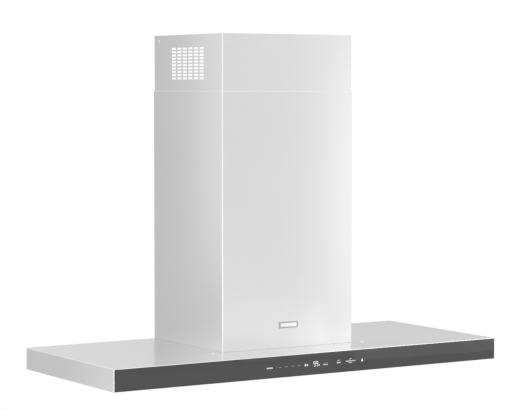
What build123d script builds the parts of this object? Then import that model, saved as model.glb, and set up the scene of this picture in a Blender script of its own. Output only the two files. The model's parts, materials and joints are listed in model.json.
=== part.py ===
from build123d import *
import math
import os

os.makedirs("parts", exist_ok=True)

# A wall-hung chimney range hood. Millimetres. X runs to the right as seen from the front, Y runs
# back to the wall, Z is up. The origin is on the wall, at the middle of the canopy's rear bottom edge.

# ---------------------------------------------------------------- driving dimensions
SHEET = 1.2                      # stainless sheet of the canopy and covers
THIN_SHEET = 1.0                 # galvanised sheet of the blower and its boxes
FIT = 0.05                       # radial clearance of a running pin

CANOPY_W = 1219.0
CANOPY_D = 505.0
CANOPY_H = 59.0
HEM = 1.2                        # sheet edge that frames the glass
GLASS_T = 3.9

CHIMNEY_W = 420.0
CHIMNEY_D = 371.0
LOWER_COVER_H = 698.5
COVER_GAP = 0.4                  # between the lower cover's inside and the upper cover's outside
UPPER_COVER_H = 420.0
TOTAL_H = 911.0
RETURN_FLANGE = 15.0             # rear flanges of both covers, turned in along the wall
BEND_R = 2.8                     # outside radius of the covers' front bends
RIM_BEVEL = 0.7                  # deburred outer edge of the lower cover's top rim

PAN_Z = 1.6                      # underside of the pan
LEDGE_W = 14.0                   # canopy ledge that carries the pan
FILTER_XS = {"left": -385.0, "centre": 0.0, "right": 385.0}
FILTER_W = 368.4
FILTER_D = 336.5
FILTER_H = 14.0
FILTER_Z = 0.4                   # underside of the filters
FILTER_REAR_Y = -53.9
FILTER_MARGIN = 0.8              # side gap to the pan's opening
PAN_FRONT_GAP = 1.6
PAN_REAR_GAP = 1.9
PIVOT_Y = -60.4                  # axis of the filters' pivot pins
PIVOT_Z = 5.0
PIVOT_R = 2.0

LAMP_XS = (-480.0, -170.0, 170.0, 480.0)
LAMP_Y = -440.0
LAMP_BODY_R = 29.0
LAMP_BEZEL_R = 34.0
LAMP_LENS_R = 26.0
LAMP_TOP_Z = 22.0

BOX_W = 330.0                    # blower box
BOX_FRONT_Y = -345.0
BOX_REAR_Y = -2.0
BOX_TOP_Z = 345.0
PLATE_W = 384.0                  # wall mounting plate behind the blower box
PLATE_TOP_Z = 357.0
PLATE_T = 2.0
WALL_BOLT_X = 178.0
WALL_BOLT_ZS = (90.0, 330.0)
WALL_BOLT_R = 4.0

SCROLL_Y = -125.0                # impeller axis
SCROLL_Z = 190.0
SCROLL_R = 104.0                 # volute radius at its tongue
SCROLL_STEP = 13.0               # growth of the volute in each quarter turn
SCROLL_HALF_W = 80.0
TONGUE_ANGLE = 20.0
INLET_R = 75.0
IMPELLER_R = 95.0
BLADE_INNER_R = 78.0
IMPELLER_HALF_W = 70.0
BLADE_COUNT = 36
PLATE_X = (1.0, 2.5)             # the wheel's centre plate, just right of the middle
HUB_X = (-4.0, 24.0)
HUB_R = 12.0
RIM_W = 2.0
SHAFT_R = 4.0
MOTOR_R = 45.0
MOTOR_OUTER_X = -88.0
MOTOR_INNER_X = -8.0
MOTOR_ARM_R = 92.0

DUCT_Y = -213.5
DUCT_R = 100.0                   # outside of the round collar, for a 200 mm duct
DUCT_TOP_Z = 430.0
DAMPER_Z = 393.0
DAMPER_PIN_OFFSET = 5.0
DAMPER_PIN_R = 2.0
DAMPER_R = 95.0

VENT_COLUMNS = 6
VENT_ROWS = 10
VENT_PITCH_Y = 30.0
VENT_PITCH_Z = 9.04
VENT_SLOT = (25.0, 5.5)
VENT_CENTRE = (-184.5, 832.5)

BRACKET_Z = (884.0, 908.0)       # wall bracket that carries the upper cover

BADGE_SIZE = (60.5, 17.8, 1.5)
BADGE_Z = 121.0

CABLE_X = 135.0
CABLE_R = 3.0

# ---------------------------------------------------------------- derived dimensions
half_w = CANOPY_W / 2
glass_rear_y = -CANOPY_D + GLASS_T
front_wall_y = glass_rear_y + 0.3             # outer face of the wall behind the glass
front_wall_in_y = front_wall_y + SHEET
canopy_roof_z = CANOPY_H - SHEET
pan_top_z = PAN_Z + SHEET
ledge_z = pan_top_z + 0.1
lower_top_z = CANOPY_H + LOWER_COVER_H
upper_base_z = TOTAL_H - UPPER_COVER_H
cover_half_w = CHIMNEY_W / 2
upper_half_w = cover_half_w - SHEET - COVER_GAP
upper_front_y = -CHIMNEY_D + SHEET + COVER_GAP
filter_front_y = FILTER_REAR_Y - FILTER_D
pan_open_front_y = filter_front_y - PAN_FRONT_GAP
pan_open_rear_y = FILTER_REAR_Y + PAN_REAR_GAP
pan_open_w = FILTER_W + 2 * FILTER_MARGIN
throat_front_y = SCROLL_Y - SCROLL_R - 3 * SCROLL_STEP
tongue_y = SCROLL_Y - (SCROLL_R - SHEET) * math.sin(math.radians(TONGUE_ANGLE))
box_half_w = BOX_W / 2


# ---------------------------------------------------------------- helpers
def block(x, y, z, mode=Mode.ADD):
    """A rectangular block between two x, two y and two z values."""
    with Locations(((x[0] + x[1]) / 2, (y[0] + y[1]) / 2, (z[0] + z[1]) / 2)):
        Box(x[1] - x[0], y[1] - y[0], z[1] - z[0], mode=mode)


def rod(plane_axis, centre, radius, start, end, mode=Mode.ADD):
    """A cylinder along X, Y or Z; centre holds the two other coordinates, in X, Y, Z order."""
    length = end - start
    middle = (start + end) / 2
    if plane_axis == "X":
        place = Location((middle, centre[0], centre[1]), (0, 90, 0))
    elif plane_axis == "Y":
        place = Location((centre[0], middle, centre[1]), (90, 0, 0))
    else:
        place = Location((centre[0], centre[1], middle))
    with Locations(place):
        Cylinder(radius, length, mode=mode)


def save(part, name):
    """Labels a finished piece and writes its STEP file."""
    part.label = name
    export_step(part, f"parts/{name}.step")


def volute_outline(inset, top_z):
    """Outline of the volute in the YZ plane: three quarter arcs that widen, then a straight throat."""
    c_y = SCROLL_Y
    c_z = SCROLL_Z
    step = SCROLL_STEP
    radius = SCROLL_R - inset
    tongue_in = tongue_y - (inset - SHEET)
    rise = math.sqrt(radius**2 - (tongue_in - c_y) ** 2)
    tongue = (tongue_in, c_z + rise)
    rear = (c_y + radius, c_z)
    bottom = (c_y - step, c_z - step - radius)
    front = (c_y - 3 * step - radius, c_z + step)
    RadiusArc(tongue, rear, radius)
    RadiusArc(rear, bottom, radius + step)
    RadiusArc(bottom, front, radius + 2 * step)
    Polyline(front, (front[0], top_z), (tongue_in, top_z), tongue)


# ---------------------------------------------------------------- canopy
def make_canopy_shell():
    """The folded stainless box: roof, four walls, glass pocket, window for the controls and ledges."""
    with BuildPart() as canopy_shell:
        block((-half_w, half_w), (-CANOPY_D, 0), (0, CANOPY_H))
        fillet(canopy_shell.edges().filter_by(Axis.Z).group_by(Axis.Y)[0], 2.4)
        roof_edges = canopy_shell.edges().group_by(Axis.Z)[-1]
        fillet(roof_edges.sort_by(Axis.Y)[:-1], 1.5)
        inner_w = half_w - SHEET
        block((-inner_w, inner_w), (front_wall_in_y, -SHEET), (0, canopy_roof_z), Mode.SUBTRACT)
        pocket_w = half_w - HEM
        pocket_z = CANOPY_H - HEM
        block((-pocket_w, pocket_w), (-CANOPY_D, front_wall_y), (0, pocket_z), Mode.SUBTRACT)
        block((-185, 185), (front_wall_y, front_wall_in_y), (14, 44), Mode.SUBTRACT)
        for ledge in (
            ((-inner_w, inner_w), (front_wall_in_y, front_wall_in_y + LEDGE_W)),
            ((-inner_w, inner_w), (-SHEET - LEDGE_W, -SHEET)),
            ((-inner_w, -inner_w + LEDGE_W), (front_wall_in_y, -SHEET)),
            ((inner_w - LEDGE_W, inner_w), (front_wall_in_y, -SHEET)),
        ):
            block(ledge[0], ledge[1], (ledge_z, ledge_z + SHEET))
        block((-155, 155), (-335, -20), (canopy_roof_z - 1, CANOPY_H + 1), Mode.SUBTRACT)
        for x, y in PAN_SCREWS:
            rod("Z", (x, y), 2.2, ledge_z - 1, ledge_z + SHEET + 1, Mode.SUBTRACT)
        for x, y in ROOF_SCREWS + COVER_SCREWS:
            rod("Z", (x, y), 2.2, canopy_roof_z - 1, CANOPY_H + 1, Mode.SUBTRACT)
        rod("Z", (CABLE_X, CABLE_RISER_Y), CABLE_R + 1.5, canopy_roof_z - 1, CANOPY_H + 1, Mode.SUBTRACT)
    save(canopy_shell.part, "canopy_shell")


def make_glass_fascia():
    """The dark glass strip across the front."""
    w = half_w - HEM - 0.2
    with BuildPart() as glass_fascia:
        block((-w, w), (-CANOPY_D, glass_rear_y), (0.2, CANOPY_H - HEM - 0.1))
        fillet(glass_fascia.edges().filter_by(Axis.X).group_by(Axis.Y)[0], 0.5)
        fillet(glass_fascia.edges().filter_by(Axis.Z).group_by(Axis.Y)[0], 0.5)
    save(glass_fascia.part, "glass_fascia")


def make_controls():
    """Touch control behind the glass: housing, board, contact springs and digit display."""
    face_y = front_wall_in_y
    board_y = face_y + 0.4
    with BuildPart() as control_housing:
        block((-200, 200), (face_y, face_y + 20), (8, 50))
        block((-198, 198), (face_y - 1, face_y + 18), (10, 48), Mode.SUBTRACT)
        rod("Y", (CABLE_X, 38), CABLE_R, face_y + 17, face_y + 21, Mode.SUBTRACT)
    save(control_housing.part, "control_housing")

    with BuildPart() as touch_board:
        block((-180, 180), (board_y, board_y + 1.6), (15, 43))
        for x in (-150, -60, 90, 150):
            block((x - 5, x + 5), (board_y + 1.6, board_y + 3.2), (22, 34))
    save(touch_board.part, "touch_board")

    with BuildPart() as display_module:
        block((-12, 18), (glass_rear_y + 0.1, board_y), (17, 39))
    save(display_module.part, "display_module")

    with BuildPart() as touch_springs:
        for x in TOUCH_XS:
            rod("Y", (x, 28), 3.5, glass_rear_y + 0.1, board_y)
            rod("Y", (x, 28), 2.3, glass_rear_y, board_y + 1, Mode.SUBTRACT)
    save(touch_springs.part, "touch_springs")


def make_underside_pan():
    """The flat pan under the canopy, with three filter openings and four lamp holes."""
    w = half_w - SHEET - 0.4
    with BuildPart() as underside_pan:
        block((-w, w), (front_wall_in_y + 0.4, -SHEET - 0.4), (PAN_Z, pan_top_z))
        for x in FILTER_XS.values():
            half = pan_open_w / 2
            block((x - half, x + half), (pan_open_front_y, pan_open_rear_y), (0, 5), Mode.SUBTRACT)
        for x in LAMP_XS:
            rod("Z", (x, LAMP_Y), LAMP_BODY_R + 0.5, 0, 5, Mode.SUBTRACT)
        for x, y in PAN_SCREWS:
            rod("Z", (x, y), 2.2, 0, 5, Mode.SUBTRACT)
    save(underside_pan.part, "underside_pan")

    with BuildPart() as pan_screws:
        for x, y in PAN_SCREWS:
            rod("Z", (x, y), 4.0, 0.2, PAN_Z)
            rod("Z", (x, y), 2.0, PAN_Z, 9)
            rod("Z", (x, y), 1.3, 0.1, 0.9, Mode.SUBTRACT)
    save(pan_screws.part, "pan_screws")


def make_lamps():
    """Four recessed round lamps: a cup with a bezel under the pan, and a lens in it."""
    for number, x in enumerate(LAMP_XS, start=1):
        with BuildPart() as lamp_housing:
            rod("Z", (x, LAMP_Y), LAMP_BEZEL_R, 0.2, PAN_Z)
            rod("Z", (x, LAMP_Y), LAMP_BODY_R, PAN_Z, LAMP_TOP_Z)
            for fin in range(-3, 4):
                block((x + 7 * fin - 1, x + 7 * fin + 1), (LAMP_Y - 16, LAMP_Y + 16), (LAMP_TOP_Z, 30))
            rod("Z", (x, LAMP_Y), LAMP_LENS_R, 0, 5, Mode.SUBTRACT)
            rod("Z", (x, LAMP_Y), LAMP_LENS_R - 2, 5, LAMP_TOP_Z - 4, Mode.SUBTRACT)
        save(lamp_housing.part, f"lamp_housing_{number}")

        with BuildPart() as lamp_lens:
            rod("Z", (x, LAMP_Y), LAMP_LENS_R - 0.1, 0.9, 3.4)
            rod("Z", (x, LAMP_Y), LAMP_LENS_R - 4, 3.4, 4.6)
        save(lamp_lens.part, f"lamp_lens_{number}")


# ---------------------------------------------------------------- filters
def make_filter(side, x):
    """One baffle filter: channel frame with pivot pins, two layers of baffles and a pull latch."""
    low_x = x - FILTER_W / 2
    high_x = x + FILTER_W / 2
    top_z = FILTER_Z + FILTER_H
    rail_depth = 42.0                         # front rail that holds the latch
    side_flange = 9.0
    skin = 1.0
    with BuildPart() as frame:
        block((low_x, high_x), (filter_front_y, FILTER_REAR_Y), (FILTER_Z, top_z))
        fillet(frame.edges().filter_by(Axis.Z), 1.5)
        inside_x = (low_x + skin, high_x - skin)
        inside_y = (filter_front_y + skin, FILTER_REAR_Y - skin)
        block(inside_x, inside_y, (FILTER_Z + skin, top_z - skin), Mode.SUBTRACT)
        window_x = (low_x + side_flange, high_x - side_flange)
        window_y = (filter_front_y + rail_depth, FILTER_REAR_Y - side_flange)
        block(window_x, window_y, (FILTER_Z - 1, top_z + 1), Mode.SUBTRACT)
        slot_z = (LATCH_Z - 0.3, LATCH_Z + LATCH_T + 0.3)
        block((x - 12.6, x + 12.6), (filter_front_y - 1, filter_front_y + 2), slot_z, Mode.SUBTRACT)
        block((x - 9, x + 9), (filter_front_y + 9, filter_front_y + 29), (0, 2), Mode.SUBTRACT)
        for pin_x in ((low_x - 6, low_x + 0.5), (high_x - 0.5, high_x + 6)):
            rod("X", (PIVOT_Y, PIVOT_Z), PIVOT_R, pin_x[0], pin_x[1])
    save(frame.part, f"filter_frame_{side}")

    with BuildPart() as baffles:
        low_count = 14
        pitch = (FILTER_W - 2 * side_flange) / low_count
        channel_y = (filter_front_y + rail_depth - 6, FILTER_REAR_Y - 4)
        lower_z = FILTER_Z + skin
        upper_z = top_z - skin
        for index in range(low_count):
            middle = low_x + side_flange + (index + 0.5) * pitch
            open_channel(middle, pitch * 0.62, channel_y, lower_z, lower_z + 5.2)
        for index in range(low_count - 1):
            middle = low_x + side_flange + (index + 1) * pitch
            open_channel(middle, pitch * 0.62, channel_y, upper_z, upper_z - 5.2)
    save(baffles.part, f"filter_baffles_{side}")

    tongue_tip_y = pan_open_front_y - 5
    with BuildPart() as latch:
        slider_z = (LATCH_Z, LATCH_Z + LATCH_T)
        block((x - 12, x + 12), (tongue_tip_y, filter_front_y + 26), slider_z)
        tab_y = (filter_front_y + 11, filter_front_y + 20)
        block((x - 8, x + 8), tab_y, (FILTER_Z + 0.1, LATCH_Z))
        block((x - 8, x + 8), (tab_y[0], tab_y[0] + 2), (LATCH_Z, LATCH_Z + 6))
    save(latch.part, f"filter_latch_{side}")


def open_channel(middle, width, y, base_z, rim_z):
    """A long shallow channel of 0.7 mm sheet, with its floor at base_z and its two lips at rim_z."""
    skin = 0.7
    up = 1 if rim_z > base_z else -1
    floor = sorted((base_z, base_z + up * skin))
    wall = sorted((base_z, rim_z))
    low = middle - width / 2
    high = middle + width / 2
    block((low, high), y, floor)
    block((low, low + skin), y, wall)
    block((high - skin, high), y, wall)


def make_filter_clips():
    """Two bored blocks beside each filter opening, which hold its pivot pins."""
    with BuildPart() as filter_clips:
        for x in FILTER_XS.values():
            for side in (-1, 1):
                face = x + side * (FILTER_W / 2 + 1.6)
                ends = sorted((face, face + side * 3.6))
                block(ends, (PIVOT_Y - 5, PIVOT_Y + 5), (pan_top_z, PIVOT_Z + 4.5))
                rod("X", (PIVOT_Y, PIVOT_Z), PIVOT_R + FIT, ends[0] - 1, ends[1] + 1, Mode.SUBTRACT)
    save(filter_clips.part, "filter_clips")


# ---------------------------------------------------------------- blower
def make_blower_box():
    """The galvanised box around the blower: a folded wrap and two side panels, with foot flanges."""
    front_foot = 10.0
    rear_foot = 18.0
    side_foot = 9.0
    inner_y = (BOX_FRONT_Y + THIN_SHEET, BOX_REAR_Y - THIN_SHEET)
    inner_top_z = BOX_TOP_Z - THIN_SHEET
    foot_z = (CANOPY_H, CANOPY_H + THIN_SHEET)
    foot_y = (BOX_FRONT_Y + front_foot, BOX_REAR_Y - rear_foot)
    with BuildPart() as blower_box:
        block((-box_half_w, box_half_w), (BOX_FRONT_Y, BOX_REAR_Y), (CANOPY_H, BOX_TOP_Z))
        block((-box_half_w - 1, box_half_w + 1), inner_y, (foot_z[1], inner_top_z), Mode.SUBTRACT)
        block((-box_half_w - 1, box_half_w + 1), foot_y, (CANOPY_H - 1, foot_z[1] + 1), Mode.SUBTRACT)
        throat_x = (-SCROLL_HALF_W, SCROLL_HALF_W)
        throat_y = (throat_front_y + SHEET, tongue_y)
        block(throat_x, throat_y, (BOX_TOP_Z - 2, BOX_TOP_Z + 1), Mode.SUBTRACT)
        rod("Z", (-95, -55), 5, BOX_TOP_Z - 2, BOX_TOP_Z + 1, Mode.SUBTRACT)
    save(blower_box.part, "blower_box")

    with BuildPart() as blower_box_sides:
        for side in (-1, 1):
            outer = side * box_half_w
            wall_x = sorted((outer, outer - side * THIN_SHEET))
            block(wall_x, inner_y, (foot_z[1], inner_top_z))
            foot_x = sorted((outer, outer - side * (THIN_SHEET + side_foot)))
            block(foot_x, foot_y, foot_z)
    save(blower_box_sides.part, "blower_box_sides")

    with BuildPart() as mounting_plate:
        block((-PLATE_W / 2, PLATE_W / 2), (-PLATE_T, 0), (CANOPY_H, PLATE_TOP_Z))
        fillet(mounting_plate.edges().filter_by(Axis.Y).group_by(Axis.Z)[-1], 12)
        for x_bolt in (-WALL_BOLT_X, WALL_BOLT_X):
            for z_bolt in WALL_BOLT_ZS:
                rod("Y", (x_bolt, z_bolt), WALL_BOLT_R, -PLATE_T - 1, 1, Mode.SUBTRACT)
    save(mounting_plate.part, "mounting_plate")


def make_scroll():
    """The volute: a wrapped strip, two side plates and two rolled inlet rings."""
    with BuildPart() as scroll_wrap:
        with BuildSketch(Plane.YZ.offset(-SCROLL_HALF_W)):
            with BuildLine():
                volute_outline(0, BOX_TOP_Z - THIN_SHEET)
            make_face()
            with BuildSketch(mode=Mode.PRIVATE) as air:
                with BuildLine():
                    volute_outline(SHEET, BOX_TOP_Z + 5)
                make_face()
            add(air.sketch, mode=Mode.SUBTRACT)
        extrude(amount=2 * SCROLL_HALF_W)
    save(scroll_wrap.part, "scroll_wrap")

    for side, start, outward in (("left", -SCROLL_HALF_W, -1), ("right", SCROLL_HALF_W, 1)):
        with BuildPart() as scroll_side:
            with BuildSketch(Plane.YZ.offset(start)):
                with BuildLine():
                    volute_outline(0, BOX_TOP_Z - THIN_SHEET)
                make_face()
                with Locations((SCROLL_Y, SCROLL_Z)):
                    Circle(INLET_R, mode=Mode.SUBTRACT)
            extrude(amount=outward * SHEET)
        save(scroll_side.part, f"scroll_side_{side}")

        base = start + outward * SHEET
        with BuildPart() as inlet_ring:
            with BuildSketch(Plane.XY):
                with BuildLine():
                    inner = SCROLL_Y + INLET_R
                    a = (base, inner + 9)
                    b = (base, inner)
                    c = (base + outward * 4, inner + 1.6)
                    d = (base + outward * 6, inner + 5)
                    e = (base + outward * 4.6, inner + 5.4)
                    f = (base + outward * 1.2, inner + 3.2)
                    g = (base + outward * 1.2, inner + 9)
                    Line(a, b)
                    ThreePointArc(b, c, d)
                    Line(d, e)
                    Line(e, f)
                    Polyline(f, g, a)
                make_face()
            revolve(axis=Axis((0, SCROLL_Y, 0), (1, 0, 0)), revolution_arc=360)
        ring = inlet_ring.part.moved(Location((0, 0, SCROLL_Z)))
        save(ring, f"inlet_ring_{side}")


def make_impeller():
    """The double-inlet wheel: centre plate with its hub, forward-curved blades, two rims, and its shaft."""
    half = IMPELLER_HALF_W
    axis_at = (SCROLL_Y, SCROLL_Z)
    with BuildSketch() as blade:
        with BuildLine():
            blade_arc(0)
            blade_arc(0.75)
            Line(polar(BLADE_INNER_R, 0), polar(BLADE_INNER_R, 0.75))
            Line(polar(IMPELLER_R - 1, 8), polar(IMPELLER_R - 1, 8.75))
        make_face()

    with BuildPart() as impeller_plate:
        rod("X", axis_at, IMPELLER_R, *PLATE_X)
        rod("X", axis_at, HUB_R, *HUB_X)
        rod("X", axis_at, SHAFT_R, HUB_X[0] - 1, HUB_X[1] + 1, Mode.SUBTRACT)
    save(impeller_plate.part, "impeller_plate")

    with BuildPart() as impeller_rings:
        for start in (-half, half - RIM_W):
            rod("X", axis_at, IMPELLER_R, start, start + RIM_W)
            rod("X", axis_at, BLADE_INNER_R, start, start + RIM_W, Mode.SUBTRACT)
    save(impeller_rings.part, "impeller_rings")

    with BuildPart() as impeller_blades:
        for start, end in ((-half + RIM_W, PLATE_X[0]), (PLATE_X[1], half - RIM_W)):
            with BuildSketch(Plane.YZ.offset(start)):
                with Locations(axis_at):
                    with PolarLocations(0, BLADE_COUNT):
                        add(blade.sketch)
            extrude(amount=end - start)
    save(impeller_blades.part, "impeller_blades")

    with BuildPart() as motor_shaft:
        rod("X", axis_at, SHAFT_R, MOTOR_OUTER_X - 2, 28)
    save(motor_shaft.part, "motor_shaft")


def polar(radius, degrees):
    """A point at a radius and an angle."""
    angle = math.radians(degrees)
    return (radius * math.cos(angle), radius * math.sin(angle))


def blade_arc(turn):
    """One face of a blade, turned by a few tenths of a degree to give its thickness."""
    middle_r = (BLADE_INNER_R + IMPELLER_R) / 2
    ThreePointArc(polar(BLADE_INNER_R, turn), polar(middle_r, turn + 2.2), polar(IMPELLER_R - 1, turn + 8))


def make_motor():
    """Motor with its bearings, three-armed mount, rubber grommets and run capacitor."""
    axis_at = (SCROLL_Y, SCROLL_Z)
    bearing_r = 9.0
    bearing_w = 6.0
    with BuildPart() as motor_body:
        rod("X", axis_at, MOTOR_R, MOTOR_OUTER_X, MOTOR_INNER_X)
        fillet(motor_body.edges().filter_by(GeomType.CIRCLE), 4)
        rod("X", axis_at, MOTOR_R - 6, MOTOR_OUTER_X + bearing_w, MOTOR_INNER_X - bearing_w, Mode.SUBTRACT)
        rod("X", axis_at, bearing_r, MOTOR_OUTER_X - 1, MOTOR_INNER_X + 1, Mode.SUBTRACT)
    save(motor_body.part, "motor_body")

    with BuildPart() as motor_bearings:
        for start in (MOTOR_OUTER_X, MOTOR_INNER_X - bearing_w):
            rod("X", axis_at, bearing_r, start, start + bearing_w)
        rod("X", axis_at, SHAFT_R + FIT, MOTOR_OUTER_X - 1, MOTOR_INNER_X + 1, Mode.SUBTRACT)
    save(motor_bearings.part, "motor_bearings")

    foot_x = -SCROLL_HALF_W - SHEET - 2
    with BuildPart() as motor_mount:
        rod("X", axis_at, MOTOR_R - 5, MOTOR_OUTER_X - 2, MOTOR_OUTER_X)
        with BuildSketch(Plane.YZ.offset(MOTOR_OUTER_X - 2)):
            with Locations(axis_at):
                with PolarLocations(MOTOR_ARM_R / 2, 3, start_angle=90):
                    Rectangle(MOTOR_ARM_R, 14)
        extrude(amount=2)
        for arm in range(3):
            y, z = polar(MOTOR_ARM_R, 90 + 120 * arm)
            rod("X", (SCROLL_Y + y, SCROLL_Z + z), 7, MOTOR_OUTER_X - 2, foot_x)
        rod("X", axis_at, bearing_r + 3, MOTOR_OUTER_X - 3, MOTOR_OUTER_X + 1, Mode.SUBTRACT)
    save(motor_mount.part, "motor_mount")

    with BuildPart() as motor_grommets:
        for arm in range(3):
            y, z = polar(MOTOR_ARM_R, 90 + 120 * arm)
            rod("X", (SCROLL_Y + y, SCROLL_Z + z), 8, foot_x, -SCROLL_HALF_W - SHEET)
    save(motor_grommets.part, "motor_grommets")

    can_r = 17.0
    can_x = box_half_w - THIN_SHEET - 24
    can_y = -300.0
    with BuildPart() as capacitor:
        rod("Z", (can_x, can_y), can_r, 75, 150)
        fillet(capacitor.edges().filter_by(GeomType.CIRCLE), 2)
        for x in (can_x - 6, can_x + 6):
            block((x - 0.4, x + 0.4), (can_y - 3, can_y + 3), (150, 158))
        rod("Z", (can_x, can_y), can_r + 1, 100, 112)
        block((can_x, box_half_w - THIN_SHEET), (can_y - 12, can_y + 12), (100, 112))
    save(capacitor.part, "capacitor")


# ---------------------------------------------------------------- duct outlet
def make_duct_collar():
    """The round collar on the blower box, with an inner ledge that stops the flaps, and its pins."""
    centre = (0, DUCT_Y)
    flange = DUCT_R + 8
    foot = BOX_TOP_Z + 1.5
    with BuildPart() as duct_collar:
        block((-flange, flange), (DUCT_Y - flange, DUCT_Y + flange), (BOX_TOP_Z, foot))
        rod("Z", centre, DUCT_R, foot, DUCT_TOP_Z)
        rod("Z", centre, DUCT_R - SHEET, BOX_TOP_Z - 1, DUCT_TOP_Z + 1, Mode.SUBTRACT)
        rod("Z", centre, DUCT_R - SHEET, DAMPER_Z - 2.6, DAMPER_Z - 1.2)
        rod("Z", centre, DAMPER_R - 4, DAMPER_Z - 3, DAMPER_Z, Mode.SUBTRACT)
        for side in (-1, 1):
            pin_y = DUCT_Y + side * DAMPER_PIN_OFFSET
            rod("X", (pin_y, DAMPER_Z), DAMPER_PIN_R, -DUCT_R - 1, DUCT_R + 1, Mode.SUBTRACT)
    save(duct_collar.part, "duct_collar")

    with BuildPart() as damper_pins:
        for side in (-1, 1):
            pin_y = DUCT_Y + side * DAMPER_PIN_OFFSET
            rod("X", (pin_y, DAMPER_Z), DAMPER_PIN_R, 0.5 - DUCT_R, DUCT_R - 0.5)
    save(damper_pins.part, "damper_pins")


def make_damper_flap(name, side):
    """A half-round backdraft flap with a hinge barrel; side is -1 for the front one, 1 for the rear."""
    pin_y = DUCT_Y + side * DAMPER_PIN_OFFSET
    barrel_r = 4.0
    with BuildPart() as flap:
        rod("Z", (0, DUCT_Y), DAMPER_R, DAMPER_Z - 0.75, DAMPER_Z + 0.75)
        removed = sorted((pin_y, DUCT_Y - side * (DAMPER_R + 1)))
        block((-DAMPER_R - 1, DAMPER_R + 1), removed, (DAMPER_Z - 2, DAMPER_Z + 2), Mode.SUBTRACT)
        rod("X", (pin_y, DAMPER_Z), barrel_r, -84, 84)
        rod("X", (pin_y, DAMPER_Z), DAMPER_PIN_R + FIT, -100, 100, Mode.SUBTRACT)
    save(flap.part, name)


# ---------------------------------------------------------------- electrics
def make_electrics():
    """Mains junction box, power board in its box, cable gland and the clipped control cable."""
    top = BOX_TOP_Z
    with BuildPart() as junction_box:
        block((-150, -40), (-95, -15), (top, top + 40))
        block((-149, -41), (-94, -14), (top + 1, top + 39), Mode.SUBTRACT)
        rod("Z", (-95, -55), 5, top - 1, top + 2, Mode.SUBTRACT)
        rod("Z", (-120, -70), 8, top + 38, top + 41, Mode.SUBTRACT)
    save(junction_box.part, "junction_box")

    with BuildPart() as junction_box_cover:
        block((-150, -40), (-15, -14), (top, top + 40))
        for z in (top + 8, top + 32):
            rod("Y", (-95, z), 3, -14, -12.6)
    save(junction_box_cover.part, "junction_box_cover")

    with BuildPart() as cable_gland:
        rod("Z", (-120, -70), 8, top + 36, top + 40)
        with BuildSketch(Plane.XY.offset(top + 40)):
            with Locations((-120, -70)):
                RegularPolygon(11, 6)
        extrude(amount=5)
        rod("Z", (-120, -70), 9, top + 45, top + 49)
        rod("Z", (-120, -70), 5, top + 30, top + 60, Mode.SUBTRACT)
    save(cable_gland.part, "cable_gland")

    with BuildPart() as power_board_box:
        block((40, 150), (-95, -15), (top, top + 36))
        block((42, 148), (-93, -17), (top + 2, top + 34), Mode.SUBTRACT)
        rod("Y", (CABLE_X, CABLE_TOP_Z), CABLE_R, -96, -90, Mode.SUBTRACT)
    save(power_board_box.part, "power_board_box")

    with BuildPart() as power_board:
        block((46, 130), (-90, -20), (top + 5, top + 6.6))
        block((52, 80), (-82, -52), (top + 6.6, top + 26))
        rod("Z", (100, -70), 8, top + 6.6, top + 28)
        for x in (88, 104, 120):
            block((x - 5, x + 5), (-44, -30), (top + 6.6, top + 20))
    save(power_board.part, "power_board")

    riser = CABLE_RISER_Y
    with BuildPart() as control_cable:
        with BuildLine() as route:
            FilletPolyline(
                (CABLE_X, front_wall_in_y + 18, 38),
                (CABLE_X, riser, 38),
                (CABLE_X, riser, CABLE_TOP_Z),
                (CABLE_X, -93, CABLE_TOP_Z),
                radius=14,
            )
        with BuildSketch(Plane(origin=route.line @ 0, z_dir=route.line % 0)):
            Circle(CABLE_R)
        sweep()
    save(control_cable.part, "control_cable")


# ---------------------------------------------------------------- chimney covers
def cover_outline(half_width, front_y, rear_y):
    """Plan of a cover: front, two sides and two rear flanges, in bent sheet."""
    flange_x = half_width - RETURN_FLANGE
    Polyline(
        (-flange_x, rear_y),
        (-half_width, rear_y),
        (-half_width, front_y),
        (half_width, front_y),
        (half_width, rear_y),
        (flange_x, rear_y),
        (flange_x, rear_y - SHEET),
        (half_width - SHEET, rear_y - SHEET),
        (half_width - SHEET, front_y + SHEET),
        (-half_width + SHEET, front_y + SHEET),
        (-half_width + SHEET, rear_y - SHEET),
        (-flange_x, rear_y - SHEET),
        close=True,
    )


def make_lower_chimney():
    """The lower cover, which stands on the canopy and has a foot flange turned in."""
    with BuildPart() as lower_chimney:
        with BuildSketch(Plane.XY.offset(CANOPY_H)):
            with BuildLine():
                cover_outline(cover_half_w, -CHIMNEY_D, 0)
            make_face()
        extrude(amount=LOWER_COVER_H)
        fillet(lower_chimney.edges().filter_by(Axis.Z).group_by(Axis.Y)[1], BEND_R - SHEET)
        fillet(lower_chimney.edges().filter_by(Axis.Z).group_by(Axis.Y)[0], BEND_R)
        inner = cover_half_w - SHEET
        for side in (-1, 1):
            ends = sorted((side * inner, side * (inner - 12)))
            block(ends, (-CHIMNEY_D + SHEET, -30), (CANOPY_H, CANOPY_H + SHEET))
        for x, y in COVER_SCREWS:
            rod("Z", (x, y), 2.0, CANOPY_H - 1, CANOPY_H + 3, Mode.SUBTRACT)
        rim = lower_chimney.faces().sort_by(Axis.Z)[-1].edges()
        side_x = cover_half_w - SHEET
        outer_rim = [e for e in rim if abs(e.center().X) > side_x or e.center().Y < -CHIMNEY_D + SHEET / 2]
        chamfer(outer_rim, RIM_BEVEL)
    save(lower_chimney.part, "lower_chimney")

    with BuildPart() as lower_cover_screws:
        for x, y in COVER_SCREWS:
            rod("Z", (x, y), 4.2, canopy_roof_z - 2.2, canopy_roof_z)
            rod("Z", (x, y), 2.0, canopy_roof_z, CANOPY_H + 6)
    save(lower_cover_screws.part, "lower_cover_screws")


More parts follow.
